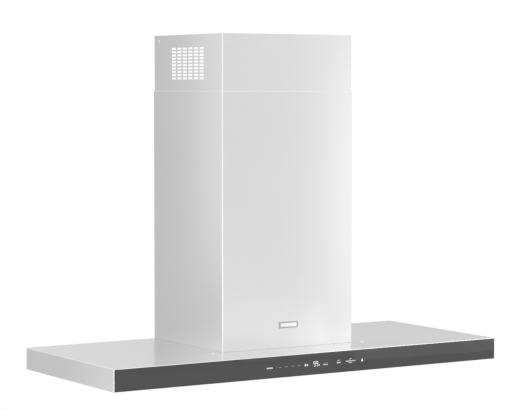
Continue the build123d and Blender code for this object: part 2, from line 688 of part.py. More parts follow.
def make_upper_chimney():
    """The telescoping upper cover, with a grid of vent slots in each side."""
    rear_y = -SHEET - COVER_GAP
    with BuildPart() as upper_chimney:
        with BuildSketch(Plane.XY.offset(upper_base_z)):
            with BuildLine():
                cover_outline(upper_half_w, upper_front_y, rear_y)
            make_face()
        extrude(amount=UPPER_COVER_H)
        fillet(upper_chimney.edges().filter_by(Axis.Z).group_by(Axis.Y)[1], BEND_R - SHEET)
        fillet(upper_chimney.edges().filter_by(Axis.Z).group_by(Axis.Y)[0], BEND_R)
        with BuildSketch(Plane.YZ.offset(-upper_half_w - 5)):
            with Locations(VENT_CENTRE):
                with GridLocations(VENT_PITCH_Y, VENT_PITCH_Z, VENT_COLUMNS, VENT_ROWS):
                    Rectangle(*VENT_SLOT)
        extrude(amount=2 * upper_half_w + 10, mode=Mode.SUBTRACT)
        for y, z in SIDE_SCREWS:
            rod("X", (y, z), 1.6, -upper_half_w - 5, upper_half_w + 5, Mode.SUBTRACT)
    save(upper_chimney.part, "upper_chimney")

    inside = upper_half_w - SHEET
    ear_t = 1.5
    with BuildPart() as upper_bracket:
        block((-190, 190), (-ear_t, 0), BRACKET_Z)
        for side in (-1, 1):
            root = sorted((side * 190, side * (190 - ear_t)))
            reach = sorted((side * (190 - ear_t), side * inside))
            outer = sorted((side * inside, side * (inside - ear_t)))
            block(root, (-14, 0), BRACKET_Z)
            block(reach, (-14, -14 + ear_t), BRACKET_Z)
            block(outer, (-34, -14 + ear_t), BRACKET_Z)
        for x in (-150, 150):
            rod("Y", (x, sum(BRACKET_Z) / 2), 3.5, -3, 1, Mode.SUBTRACT)
        for y, z in SIDE_SCREWS:
            rod("X", (y, z), 1.6, -upper_half_w - 5, upper_half_w + 5, Mode.SUBTRACT)
    save(upper_bracket.part, "upper_bracket")

    with BuildPart() as upper_cover_screws:
        for y, z in SIDE_SCREWS:
            for side in (-1, 1):
                head = sorted((side * upper_half_w, side * (upper_half_w + COVER_GAP + 0.9)))
                shank = sorted((side * upper_half_w, side * (upper_half_w - 9)))
                rod("X", (y, z), 2.8, head[0], head[1])
                rod("X", (y, z), 1.6, shank[0], shank[1])
    save(upper_cover_screws.part, "upper_cover_screws")


def make_trim():
    """The blank badge on the lower cover and the two screws on the canopy roof."""
    width, height, depth = BADGE_SIZE
    with BuildPart() as badge:
        face_z = (BADGE_Z - height / 2, BADGE_Z + height / 2)
        block((-width / 2, width / 2), (-CHIMNEY_D - depth, -CHIMNEY_D), face_z)
        fillet(badge.edges().filter_by(Axis.Y), 2.5)
        chamfer(badge.faces().sort_by(Axis.Y)[0].edges(), 0.5)
    save(badge.part, "badge")

    with BuildPart() as canopy_top_screws:
        for x, y in ROOF_SCREWS:
            rod("Z", (x, y), 4.0, CANOPY_H, CANOPY_H + 1.8)
            rod("Z", (x, y), 2.0, CANOPY_H - 8, CANOPY_H)
        fillet(canopy_top_screws.edges().filter_by(GeomType.CIRCLE).group_by(Axis.Z)[-1], 1.2)
    save(canopy_top_screws.part, "canopy_top_screws")


# ---------------------------------------------------------------- fastener and control places
PAN_SCREWS = [(x, y) for x in (-580, -215, 215, 580) for y in (-491, -8)]
ROOF_SCREWS = [(-242, -374), (242, -374)]
COVER_SCREWS = [(x, y) for x in (-202, 202) for y in (-300, -80)]
SIDE_SCREWS = [(-28.7, 895.3)]
TOUCH_XS = (-145, -112, -92, -71, -50, -29, 32, 75, 114, 152)
LATCH_Z = pan_top_z + 0.3
LATCH_T = 1.5
CABLE_RISER_Y = -355.0
CABLE_TOP_Z = BOX_TOP_Z + 18

make_canopy_shell()
make_glass_fascia()
make_controls()
make_underside_pan()
make_lamps()
for filter_side, filter_x in FILTER_XS.items():
    make_filter(filter_side, filter_x)
make_filter_clips()
make_blower_box()
make_scroll()
make_impeller()
make_motor()
make_duct_collar()
make_damper_flap("damper_flap_front", -1)
make_damper_flap("damper_flap_rear", 1)
make_electrics()
make_lower_chimney()
make_upper_chimney()
make_trim()
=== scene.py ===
import bmesh
import bpy
import json
import math
from mathutils import Matrix, Vector


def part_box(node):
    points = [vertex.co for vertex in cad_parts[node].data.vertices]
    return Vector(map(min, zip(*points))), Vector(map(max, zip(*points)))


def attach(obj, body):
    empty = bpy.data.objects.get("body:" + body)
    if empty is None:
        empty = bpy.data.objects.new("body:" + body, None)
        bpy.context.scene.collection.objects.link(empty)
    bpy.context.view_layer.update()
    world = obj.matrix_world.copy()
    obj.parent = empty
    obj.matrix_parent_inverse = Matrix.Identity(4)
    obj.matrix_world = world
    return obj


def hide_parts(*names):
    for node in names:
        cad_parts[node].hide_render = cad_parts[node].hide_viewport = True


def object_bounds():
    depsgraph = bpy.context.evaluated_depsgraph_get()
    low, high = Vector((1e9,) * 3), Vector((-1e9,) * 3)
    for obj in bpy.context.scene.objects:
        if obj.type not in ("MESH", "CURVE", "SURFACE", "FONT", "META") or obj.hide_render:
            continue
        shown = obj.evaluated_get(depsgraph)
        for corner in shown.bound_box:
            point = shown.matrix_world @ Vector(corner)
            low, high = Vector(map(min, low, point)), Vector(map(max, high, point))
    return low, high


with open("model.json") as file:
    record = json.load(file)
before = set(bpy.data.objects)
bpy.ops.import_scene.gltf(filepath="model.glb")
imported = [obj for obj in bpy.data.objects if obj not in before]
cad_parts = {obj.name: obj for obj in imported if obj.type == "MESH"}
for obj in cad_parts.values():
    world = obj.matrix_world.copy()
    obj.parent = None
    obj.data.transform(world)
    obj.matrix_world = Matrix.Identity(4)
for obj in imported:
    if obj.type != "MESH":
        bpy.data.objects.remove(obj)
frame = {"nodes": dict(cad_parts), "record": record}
cad_low, cad_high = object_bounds()

MM = 0.001                       # sizes are in millimetres unless a comment says otherwise

# ---------------------------------------------------------------- viewpoint and light, in metres
CAMERA_YAW_DEG = 32.092          # turned right of straight ahead
CAMERA_PITCH_DEG = -3.319
CAMERA_LENS_MM = 142.235
CAMERA_FROM_CORNER = (-2.3952, -4.499, 0.7092)   # from the canopy's front left corner, at its roof
WORLD_BACK = 0.61                # the world's light from behind and from in front of the hood
WORLD_FRONT = 1.0
FRONT_DIRECTION = (-0.4, -0.9, 0.15)             # where the world's light is brightest
FLOOR_RADIUS = 1.6
FLOOR_CENTRE = (0, -0.25, -1.6)

# ---------------------------------------------------------------- sizes that the CAD shares
COVER_SHEET = 1.2
COVER_GAP = 0.4                  # between the lower and the upper cover
PAN_SCREW_INNER_X = 215.0        # the inner pan screws from the centre line
FLANGE_TOP_Z = 346.5             # top of the duct collar's flange

# ---------------------------------------------------------------- control strip
GLASS_SETBACK = 0.3              # the glass's face behind the CAD's, so that the marks fit inside it
MARK_T = 0.2                     # how far a mark stands off the glass
MARK_SINK = 0.05                 # and how far it goes in
MARK_Z = 27.8                    # height of the row of touch marks
SEGMENTS_OF_NINE = "abcdfg"

# ---------------------------------------------------------------- small parts
BADGE_RIM = 1.1
BADGE_BAR_H = 9.2
BADGE_LINE_H = 0.7               # two dark lines on the badge's light bar
BADGE_LINE_OFFSET = 2.4          # from the bar's middle
PAN_SCREW_RADIUS = 4.0
ROOF_SCREW_HEAD = 1.8            # heights of the screw heads
PAN_SCREW_HEAD = 1.4
SIDE_SCREW_HEAD = 1.3
LENS_RINGS = 9
LENS_RIM = 0.8
LAMP_BOARD_Z = (4.8, 5.4)        # the board's face and back
LED_COUNT = 6
LED_CIRCLE_RADIUS = 13.0
LED_HALF = 1.8                   # half of a chip's width
RIVET_INSET = 8.0                # from the blower box's sides
RIVET_HEIGHTS = (80, 150, 220, 290, 335)
FLANGE_RIVET_INSET = 7.0         # from the edges of the duct collar's flange
# Profiles are (radius, height) points for add_lathe.
RIVET_PROFILE = [(0, -0.4), (3.2, -0.4), (3.2, 0.25), (2.6, 0.9), (1.2, 1.1), (1.0, 0.6), (0, 0.6)]
FILTER_RIVET_PROFILE = [(0, 0.35), (2.2, 0.35), (1.8, 0.05), (0, 0.0)]
GROMMET_PROFILE = [(0, -1), (7, -1), (7, 2), (5, 3.5), (4.4, 6), (0, 6)]
DATA_LINE_WIDTHS = (34, 26, 38, 30, 22)
DATA_LINE_PITCH = 6.0
LEAD_RADIUS = 3.6
LEAD_Y = -60.0                   # the lead runs along X here
LEAD_RISE = 9.0                  # the lead's ends above its middle
CLIP_XS = (-10.0, 14.0)


# ---------------------------------------------------------------- camera and stage
def make_camera():
    """The photograph's viewpoint: front left, just under the covers' top, looking slightly down."""
    yaw = math.radians(CAMERA_YAW_DEG)
    pitch = math.radians(CAMERA_PITCH_DEG)
    corner = Vector((cad_low.x, cad_low.y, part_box("canopy_shell")[1].z))
    level = math.cos(pitch)
    ahead = Vector((math.sin(yaw) * level, math.cos(yaw) * level, math.sin(pitch)))
    data = bpy.data.cameras.new("camera")
    data.sensor_width = 36.0
    data.lens = CAMERA_LENS_MM
    data.clip_end = 100.0
    camera = bpy.data.objects.new("camera", data)
    camera.location = corner + Vector(CAMERA_FROM_CORNER)
    camera.rotation_mode = "QUATERNION"
    camera.rotation_quaternion = ahead.to_track_quat("-Z", "Y")
    bpy.context.scene.collection.objects.link(camera)
    bpy.context.scene.camera = camera


def make_world():
    """White to the eye; as a light it is a soft gradient, brightest in front and to the left."""
    world = bpy.data.worlds.new("studio")
    bpy.context.scene.world = world
    world.use_nodes = True
    tree = world.node_tree
    tree.nodes.clear()
    output = tree.nodes.new("ShaderNodeOutputWorld")
    mix = tree.nodes.new("ShaderNodeMixShader")
    seen = tree.nodes.new("ShaderNodeBackground")
    light = tree.nodes.new("ShaderNodeBackground")
    path = tree.nodes.new("ShaderNodeLightPath")
    coords = tree.nodes.new("ShaderNodeTexCoord")
    dot = tree.nodes.new("ShaderNodeVectorMath")
    ramp = tree.nodes.new("ShaderNodeMapRange")
    seen.inputs["Color"].default_value = (1, 1, 1, 1)
    seen.inputs["Strength"].default_value = 1.0
    light.inputs["Color"].default_value = (1, 1, 1, 1)
    dot.operation = "DOT_PRODUCT"
    dot.inputs[1].default_value = Vector(FRONT_DIRECTION).normalized()
    ramp.inputs["From Min"].default_value = -1.0
    ramp.inputs["From Max"].default_value = 1.0
    ramp.inputs["To Min"].default_value = WORLD_BACK
    ramp.inputs["To Max"].default_value = WORLD_FRONT
    tree.links.new(coords.outputs["Generated"], dot.inputs[0])
    tree.links.new(dot.outputs["Value"], ramp.inputs["Value"])
    tree.links.new(ramp.outputs["Result"], light.inputs["Strength"])
    tree.links.new(path.outputs["Is Camera Ray"], mix.inputs["Fac"])
    tree.links.new(light.outputs["Background"], mix.inputs[1])
    tree.links.new(seen.outputs["Background"], mix.inputs[2])
    tree.links.new(mix.outputs["Shader"], output.inputs["Surface"])
    bpy.context.scene.view_settings.view_transform = "Standard"


def soft_box(name, place, aim, size, radiance):
    """A rectangular light of even radiance at place, facing aim, that the camera doesn't see."""
    data = bpy.data.lights.new(name, "AREA")
    data.shape = "RECTANGLE"
    data.size, data.size_y = size
    data.energy = radiance * math.pi * size[0] * size[1]
    light = bpy.data.objects.new(name, data)
    light.location = place
    light.rotation_mode = "QUATERNION"
    light.rotation_quaternion = (Vector(aim) - Vector(place)).to_track_quat("-Z", "Y")
    light.visible_camera = False
    bpy.context.scene.collection.objects.link(light)


def make_lights():
    """Soft boxes round the hood, each for one face or edge; all sizes here are metres."""
    soft_box("overhead_box", (0.3, 0.1, 2.6), (0, -0.3, 0.1), (2.4, 2.0), 0.7)
    soft_box("right_box", (1.45, -1.5, 0.35), (0.45, -0.366, 0.35), (0.9, 1.1), 0.55)
    soft_box("low_box", (0.5, -2.2, -0.35), (-0.1, -0.37, 0.1), (1.4, 0.6), 0.17)
    soft_box("high_box", (0.7, -1.5, 1.9), (0, -0.4, 0.1), (1.2, 0.7), 0.6)
    soft_box("right_top_box", (2.1, -0.9, 2.4), (0.3, -0.4, 0.05), (1.2, 1.0), 2.0)
    soft_box("foot_box", (0.1, -0.7, 0.085), (-0.1, -0.371, 0.07), (0.42, 0.05), 0.34)
    soft_box("corner_box", (-1.75, -0.8, -0.15), (-0.61, -0.505, 0.03), (0.4, 0.4), 3.3)
    soft_box("side_box", (-1.2, 0.45, -0.3), (-0.61, -0.45, 0.03), (0.35, 0.5), 0.3)
    soft_box("rear_top_box", (-0.4, 1.7, 1.8), (-0.21, -0.2, 0.7), (0.8, 0.6), 0.5)
    soft_box("rear_box", (0.35, 1.6, 0.45), (-0.4, -0.25, 0.06), (1.0, 0.7), 0.1)
    soft_box("rear_left_box", (-1.0, 0.62, 0.85), (-0.21, -0.366, 0.75), (0.5, 1.5), 0.35)


def make_floor():
    """A pale floor 1.6 m under the canopy, as in a kitchen."""
    bpy.ops.mesh.primitive_circle_add(
        vertices=96, radius=FLOOR_RADIUS, fill_type="NGON", location=FLOOR_CENTRE
    )
    floor = bpy.context.object
    floor.name = "floor"
    floor.data.materials.append(new_material("floor_paint", (0.86, 0.86, 0.85), 0.6)[0])


# ---------------------------------------------------------------- materials
def new_material(name, colour, roughness, metallic=0.0):
    """A plain material, with its shader and node tree for the caller to add detail to."""
    material = bpy.data.materials.new(name)
    material.use_nodes = True
    tree = material.node_tree
    shader = tree.nodes["Principled BSDF"]
    shader.inputs["Base Color"].default_value = (*colour, 1)
    shader.inputs["Roughness"].default_value = roughness
    shader.inputs["Metallic"].default_value = metallic
    return material, shader, tree


def object_coords(tree, scale):
    """Object coordinates, stretched by a scale for each axis."""
    coords = tree.nodes.new("ShaderNodeTexCoord")
    mapping = tree.nodes.new("ShaderNodeMapping")
    mapping.inputs["Scale"].default_value = scale
    tree.links.new(coords.outputs["Object"], mapping.inputs["Vector"])
    return mapping.outputs["Vector"]


def noise(tree, vector, detail=3.0, roughness=0.5):
    """Noise from about 0.3 to 0.7, over a vector."""
    node = tree.nodes.new("ShaderNodeTexNoise")
    node.inputs["Scale"].default_value = 1.0
    node.inputs["Detail"].default_value = detail
    node.inputs["Roughness"].default_value = roughness
    tree.links.new(vector, node.inputs["Vector"])
    return node.outputs["Fac"]


def even_noise(tree, scale, detail=3.0):
    """Noise of the same fineness along every axis; a larger scale is finer."""
    return noise(tree, object_coords(tree, (scale, scale, scale)), detail)


def spread(tree, value, low, high, from_low=0.3, from_high=0.7):
    """A value mapped to low..high; it comes in between from_low and from_high, as noise does."""
    node = tree.nodes.new("ShaderNodeMapRange")
    node.inputs["From Min"].default_value = from_low
    node.inputs["From Max"].default_value = from_high
    node.inputs["To Min"].default_value = low
    node.inputs["To Max"].default_value = high
    tree.links.new(value, node.inputs["Value"])
    return node.outputs["Result"]


def math_node(tree, operation, first, second):
    """A sum, product or the like of two values, each a number or a socket."""
    node = tree.nodes.new("ShaderNodeMath")
    node.operation = operation
    for socket, value in zip(node.inputs, (first, second)):
        if isinstance(value, (int, float)):
            socket.default_value = value
        else:
            tree.links.new(value, socket)
    return node.outputs["Value"]


def shade_of(tree, shader, colour, value):
    """Base colour times a grey value."""
    node = tree.nodes.new("ShaderNodeVectorMath")
    node.operation = "SCALE"
    node.inputs[0].default_value = colour
    tree.links.new(value, node.inputs["Scale"])
    tree.links.new(node.outputs["Vector"], shader.inputs["Base Color"])


def bump(tree, shader, height, strength, distance):
    """Fine relief on the shader's normal; distance is in metres."""
    node = tree.nodes.new("ShaderNodeBump")
    node.inputs["Strength"].default_value = strength
    node.inputs["Distance"].default_value = distance
    tree.links.new(height, node.inputs["Height"])
    tree.links.new(node.outputs["Normal"], shader.inputs["Normal"])


def normal_sizes(tree):
    """The sizes of the object-space normal's X, Y and Z."""
    coords = tree.nodes.new("ShaderNodeTexCoord")
    split = tree.nodes.new("ShaderNodeSeparateXYZ")
    tree.links.new(coords.outputs["Normal"], split.inputs["Vector"])
    return [math_node(tree, "ABSOLUTE", split.outputs[axis], 0.0) for axis in "XYZ"]


def on_bends(tree, sizes):
    """1 on the folded edges of square sheet work, 0 on its flats."""
    flatness = math_node(tree, "MAXIMUM", math_node(tree, "MAXIMUM", sizes[0], sizes[1]), sizes[2])
    return spread(tree, flatness, 1.0, 0.0, from_low=0.95, from_high=0.995)


def pick(tree, factor, wall, top):
    """One vector on walls and another on level faces."""
    node = tree.nodes.new("ShaderNodeMix")
    node.data_type = "VECTOR"
    tree.links.new(factor, node.inputs["Factor"])
    for socket, value in ((node.inputs[4], wall), (node.inputs[5], top)):
        if isinstance(value, tuple):
            socket.default_value = value
        else:
            tree.links.new(value, socket)
    return node.outputs[1]


def brushed(
    name, colour, roughness, anisotropy, grain=1.0, bend_highlight_gain=0.0, level_light_gain=0.0, level_rough=0.0
):
    """Stainless sheet, its grain along X on level faces and level round the walls.

    Bends carry a painted highlight and level faces painted light, brighter by their gains, and level
    faces change in roughness.
    """
    material, shader, tree = new_material(name, colour, roughness, 1.0)
    sizes = normal_sizes(tree)
    level = math_node(tree, "GREATER_THAN", sizes[2], 0.7)
    along, across = 3, 900 * grain
    across_wall = object_coords(tree, (along, along, across))
    across_top = object_coords(tree, (along, across, along))
    grain_at = pick(tree, level, across_wall, across_top)
    lines = noise(tree, grain_at, detail=4.0, roughness=0.65)
    cloud = even_noise(tree, 4, detail=2.0)
    line_rough = spread(tree, lines, -0.02, 0.02)
    cloud_rough = spread(tree, cloud, roughness - 0.01, roughness + 0.01)
    rough = math_node(tree, "ADD", line_rough, cloud_rough)
    smoother = math_node(tree, "MULTIPLY", level, level_rough)
    tree.links.new(math_node(tree, "ADD", rough, smoother), shader.inputs["Roughness"])
    tone = math_node(tree, "ADD", spread(tree, lines, -0.01, 0.01), spread(tree, cloud, 0.99, 1.01))
    # painted highlight on the bends and painted light on the level faces, added to the base colour
    painted_bend_highlight = math_node(tree, "MULTIPLY", on_bends(tree, sizes), bend_highlight_gain)
    painted_level_light = math_node(tree, "MULTIPLY", level, level_light_gain)
    gain = math_node(tree, "MAXIMUM", painted_bend_highlight, painted_level_light)
    shade_of(tree, shader, colour, math_node(tree, "ADD", tone, gain))
    bump(tree, shader, lines, strength=0.03, distance=0.00004)
    shader.inputs["Anisotropic"].default_value = anisotropy
    tangent = pick(tree, level, (0.0, 0.0, 1.0), (0.0, 1.0, 0.0))
    tree.links.new(tangent, shader.inputs["Tangent"])
    return material


def galvanised(name, colour):
    """Zinc-coated sheet with its crystal spangle."""
    material, shader, tree = new_material(name, colour, 0.42, 0.9)
    cells = tree.nodes.new("ShaderNodeTexVoronoi")
    cells.inputs["Scale"].default_value = 1.0
    tree.links.new(object_coords(tree, (95, 95, 95)), cells.inputs["Vector"])
    split = tree.nodes.new("ShaderNodeSeparateColor")
    tree.links.new(cells.outputs["Color"], split.inputs["Color"])
    spangle = split.outputs["Red"]
    cloud = even_noise(tree, 9)
    crystals = spread(tree, spangle, -0.07, 0.07, from_low=0, from_high=1)
    tone = math_node(tree, "ADD", crystals, spread(tree, cloud, 0.93, 1.05))
    shade_of(tree, shader, colour, tone)
    dull = spread(tree, spangle, 0.34, 0.5, from_low=0, from_high=1)
    tree.links.new(dull, shader.inputs["Roughness"])
    bump(tree, shader, cloud, strength=0.1, distance=0.0004)
    return material


def satin_metal(name, colour, roughness, metallic=1.0):
    """Ground, cast or plated metal with a fine, even grain."""
    material, shader, tree = new_material(name, colour, roughness, metallic)
    fine = even_noise(tree, 260)
    cloud = even_noise(tree, 14)
    worn = spread(tree, fine, roughness - 0.05, roughness + 0.07)
    tree.links.new(worn, shader.inputs["Roughness"])
    shade_of(tree, shader, colour, spread(tree, cloud, 0.94, 1.04))
    bump(tree, shader, fine, strength=0.2, distance=0.00005)
    return material


def moulded(name, colour, roughness):
    """Moulded plastic or rubber with a spark-eroded texture."""
    material, shader, tree = new_material(name, colour, roughness)
    fine = even_noise(tree, 520)
    cloud = even_noise(tree, 20)
    worn = spread(tree, cloud, roughness - 0.05, roughness + 0.05)
    tree.links.new(worn, shader.inputs["Roughness"])
    shade_of(tree, shader, colour, spread(tree, cloud, 0.88, 1.1))
    bump(tree, shader, fine, strength=0.25, distance=0.00008)
    return material


def dark_glass(name, colour):
    """Back-painted glass: a deep even tone under a smooth clear surface."""
    material, shader, tree = new_material(name, colour, 0.09)
    cloud = even_noise(tree, 6, detail=2.0)
    shade_of(tree, shader, colour, spread(tree, cloud, 0.98, 1.02))
    tree.links.new(spread(tree, cloud, 0.07, 0.12), shader.inputs["Roughness"])
    shader.inputs["IOR"].default_value = 1.42
    return material


def lit_print(name, level, glow):
    """A backlit mark: a pale print with a soft even glow."""
    tone = (level * 0.5, level * 0.5, level * 0.5)
    material, shader, tree = new_material(name, tone, 0.5)
    cloud = even_noise(tree, 300, detail=2.0)
    shade_of(tree, shader, tone, spread(tree, cloud, 0.9, 1.1))
    shader.inputs["Emission Color"].default_value = (1.0, 1.0, 1.0, 1.0)
    shader.inputs["Emission Strength"].default_value = glow
    return material


def frosted_lens(name):
    """A milky moulded lens that lets part of the light through."""
    material, shader, tree = new_material(name, (0.93, 0.94, 0.95), 0.35)
    fine = even_noise(tree, 900, detail=2.0)
    tree.links.new(spread(tree, fine, 0.3, 0.45), shader.inputs["Roughness"])
    bump(tree, shader, fine, strength=0.3, distance=0.0001)
    shader.inputs["Transmission Weight"].default_value = 0.45
    return material


MATERIALS = {}


def make_materials():
    """One material for each of the record's slots, and one for each extra finish."""
    # the stainless carries a painted highlight on its bends and painted light on its level faces
    MATERIALS["stainless"] = brushed(
        "stainless", (0.74, 0.74, 0.74), 0.3, 0.85, bend_highlight_gain=0.35, level_light_gain=0.35, level_rough=-0.1
    )
    MATERIALS["pan_stainless"] = brushed("pan_stainless", (0.66, 0.66, 0.66), 0.34, 0.5, grain=0.7)
    MATERIALS["filter_stainless"] = brushed(
        "filter_stainless", (0.64, 0.64, 0.645), 0.28, 0.5, grain=0.6
    )
    MATERIALS["fascia_glass"] = dark_glass("fascia_glass", (0.058, 0.058, 0.058))
    MATERIALS["galvanised"] = galvanised("galvanised", (0.56, 0.57, 0.58))
    MATERIALS["black_plastic"] = moulded("black_plastic", (0.022, 0.022, 0.024), 0.45)
    MATERIALS["motor_metal"] = satin_metal("motor_metal", (0.5, 0.51, 0.52), 0.5)
    MATERIALS["bearing_steel"] = satin_metal("bearing_steel", (0.68, 0.68, 0.69), 0.18)
    MATERIALS["screw_steel"] = satin_metal("screw_steel", (0.8, 0.8, 0.8), 0.2)
    # a lighter copy of the screw steel: a painted highlight on the roof and side screws
    MATERIALS["screw_painted_highlight"] = satin_metal("screw_painted_highlight", (0.95, 0.95, 0.95), 0.42, metallic=0.5)
    # a dark grey for the painted shadow lines at the covers' joints
    MATERIALS["painted_shadow_dark"] = moulded("painted_shadow_dark", (0.12, 0.12, 0.12), 0.6)
    MATERIALS["rubber"] = moulded("rubber", (0.02, 0.02, 0.02), 0.75)
    MATERIALS["board_green"] = moulded("board_green", (0.015, 0.11, 0.045), 0.35)
    MATERIALS["display_black"] = moulded("display_black", (0.012, 0.012, 0.013), 0.12)
    MATERIALS["contact_metal"] = satin_metal("contact_metal", (0.66, 0.5, 0.24), 0.3)
    MATERIALS["lamp_metal"] = satin_metal("lamp_metal", (0.7, 0.7, 0.71), 0.32)
    MATERIALS["lamp_glass"] = frosted_lens("lamp_glass")
    MATERIALS["capacitor_white"] = moulded("capacitor_white", (0.72, 0.72, 0.69), 0.35)
    MATERIALS["cable_black"] = moulded("cable_black", (0.02, 0.02, 0.02), 0.55)
    MATERIALS["badge_metal"] = satin_metal("badge_metal", (0.46, 0.46, 0.47), 0.34)
    MATERIALS["badge_light"] = satin_metal("badge_light", (0.95, 0.95, 0.95), 0.4)
    MATERIALS["print_lit"] = lit_print("print_lit", 1.0, 0.9)
    MATERIALS["print_soft"] = lit_print("print_soft", 0.75, 0.6)
    MATERIALS["print_dim"] = lit_print("print_dim", 0.3, 0.2)
    MATERIALS["board_white"] = moulded("board_white", (0.75, 0.75, 0.73), 0.5)
    MATERIALS["led_phosphor"] = moulded("led_phosphor", (0.85, 0.66, 0.12), 0.35)


def dress_cad_nodes():
    """Every CAD node takes the material of its slot."""
    slots = {row["node"]: row["material_slot"] for row in frame["record"]["subparts"]}
    for name, node in frame["nodes"].items():
        material = MATERIALS[slots[name]]
        node.data.materials.clear()
        node.data.materials.append(material)


# ---------------------------------------------------------------- mesh helpers
def add_block(bm, low, high, bevel=0.0, material=0):
    """A box between two corners, in millimetres, with rounded edges where bevel is given."""
    low, high = Vector(low) * MM, Vector(high) * MM
    place = Matrix.Translation((low + high) / 2) @ Matrix.Diagonal((*(high - low), 1.0))
    made = bmesh.ops.create_cube(bm, size=1.0, matrix=place)
    corners = made["verts"]
    faces = {face for corner in corners for face in corner.link_faces}
    if bevel:
        edges = {edge for corner in corners for edge in corner.link_edges}
        geometry = list(corners) + list(edges)
        rounded = bmesh.ops.bevel(
            bm, geom=geometry, offset=bevel * MM, segments=3, profile=0.5, affect="EDGES"
        )
        faces = {face for corner in rounded["verts"] for face in corner.link_faces}
    for face in faces:
        if face.is_valid:
            face.material_index = material


def add_lathe(bm, profile, centre, axis="Z", steps=32, flip=1, material=0):
    """Turns (radius, height) points round an axis through centre and closes both ends."""
    rings = []
    for radius, height in profile:
        ring = []
        count = steps if radius > 0 else 1
        for step in range(count):
            turn = math.tau * step / steps
            u, v, w = radius * math.cos(turn), radius * math.sin(turn), flip * height
            spot = {"X": (w, u, v), "Y": (v, w, u), "Z": (u, v, w)}[axis]
            ring.append(bm.verts.new((Vector(centre) + Vector(spot)) * MM))
        rings.append(ring)
    faces = []
    for lower, upper in zip(rings, rings[1:]):
        for step in range(steps):
            after = (step + 1) % steps
            a, b = lower[step % len(lower)], lower[after % len(lower)]
            c, d = upper[after % len(upper)], upper[step % len(upper)]
            loop = []
            for vertex in (a, b, c, d):
                if vertex not in loop:
                    loop.append(vertex)
            faces.append(bm.faces.new(loop))
    for ring in (rings[0], rings[-1]):
        if len(ring) > 1:
            faces.append(bm.faces.new(ring))
    for face in faces:
        face.material_index = material


def add_piece(name, bm, materials, body="hood", nodes=()):
    """Makes a piece of a mesh, with its materials, its body and the CAD nodes it stands for."""
    bmesh.ops.recalc_face_normals(bm, faces=bm.faces)
    mesh = bpy.data.meshes.new(name)
    bm.to_mesh(mesh)
    bm.free()
    mesh.shade_smooth()
    mesh.set_sharp_from_angle(angle=math.radians(32))
    for material in materials:
        mesh.materials.append(MATERIALS[material])
    piece = bpy.data.objects.new(name, mesh)
    bpy.context.scene.collection.objects.link(piece)
    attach(piece, body)
    if nodes:
        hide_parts(*nodes)
    return piece


def carve(bm, cutter):
    """Cuts one closed mesh out of another."""
    pair = []
    for source in (bm, cutter):
        bmesh.ops.recalc_face_normals(source, faces=source.faces)
        mesh = bpy.data.meshes.new("carving")
        source.to_mesh(mesh)
        source.free()
        thing = bpy.data.objects.new("carving", mesh)
        bpy.context.scene.collection.objects.link(thing)
        pair.append(thing)
    target, tool = pair
    modifier = target.modifiers.new("carve", "BOOLEAN")
    modifier.operation = "DIFFERENCE"
    modifier.object = tool
    modifier.solver = "EXACT"
    depsgraph = bpy.context.evaluated_depsgraph_get()
    cut = bpy.data.meshes.new_from_object(target.evaluated_get(depsgraph))
    for thing in pair:
        mesh = thing.data
        bpy.data.objects.remove(thing)
        bpy.data.meshes.remove(mesh)
    return cut


def cross_screw(radius, height, shank, shank_length):
    """A pan-head screw along Z with its head's underside at 0 and a cross recess in the top."""
    body = bmesh.new()
    rises = [math.radians(degrees) for degrees in range(10, 90, 16)]
    crown = [(radius * math.cos(rise), height * math.sin(rise)) for rise in rises]
    stem = [(0, -shank_length), (shank, -shank_length), (shank, 0), (radius, 0)]
    profile = [*stem, *crown, (0, height)]
    add_lathe(body, profile, (0, 0, 0), steps=28)
    recess = bmesh.new()
    arm, half, depth = radius * 0.55, radius * 0.12, height * 0.5
    add_block(recess, (-arm, -half, height - depth), (arm, half, height + 1))
    first = carve(body, recess)
    body, recess = bmesh.new(), bmesh.new()
    body.from_mesh(first)
    bpy.data.meshes.remove(first)
    add_block(recess, (-half, -arm, height - depth), (half, arm, height + 1))
    return carve(body, recess)


def add_copies(bm, mesh, places, facing):
    """Copies a mesh made along Z to places, facing given directions, each turned differently."""
    for number, (place, direction) in enumerate(zip(places, facing)):
        turn = Matrix.Rotation(0.9 + 1.7 * number, 4, "Z")
        aim = Vector(direction).to_track_quat("Z", "Y").to_matrix().to_4x4()
        copy = mesh.copy()
        copy.transform(Matrix.Translation(Vector(place) * MM) @ aim @ turn)
        bm.from_mesh(copy)
        bpy.data.meshes.remove(copy)


# ---------------------------------------------------------------- control strip
def make_control_glass():
    """The glass strip, with ground edges."""
    low, high = (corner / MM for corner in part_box("glass_fascia"))
    bm = bmesh.new()
    add_block(bm, (low.x, low.y + GLASS_SETBACK, low.z), high, bevel=0.5)
    add_piece("control_glass", bm, ["fascia_glass"], nodes=["glass_fascia"])


def add_mark(bm, x, z, width, height):
    """One printed rectangle on the glass."""
    front = cad_low.y / MM + GLASS_SETBACK
    low = (x - width / 2, front - MARK_T, z - height / 2)
    high = (x + width / 2, front + MARK_SINK, z + height / 2)
    add_block(bm, low, high)


def add_dashes(bm, x, z, width, height, count):
    """A row of short dashes where a caption would be."""
    pitch = width / count
    for index in range(count):
        add_mark(bm, x - width / 2 + (index + 0.5) * pitch, z, pitch * 0.68, height)


def add_chevron(bm, x, z, size, stroke):
    """A fan-speed arrow that points right, made of small stepped bars."""
    steps = 5
    rise = size / (2 * steps)
    for index in range(-steps, steps + 1):
        reach = size / 2 * (1 - abs(index) / steps)
        add_mark(bm, x - size / 4 + reach, z + index * rise, stroke, rise * 1.15)


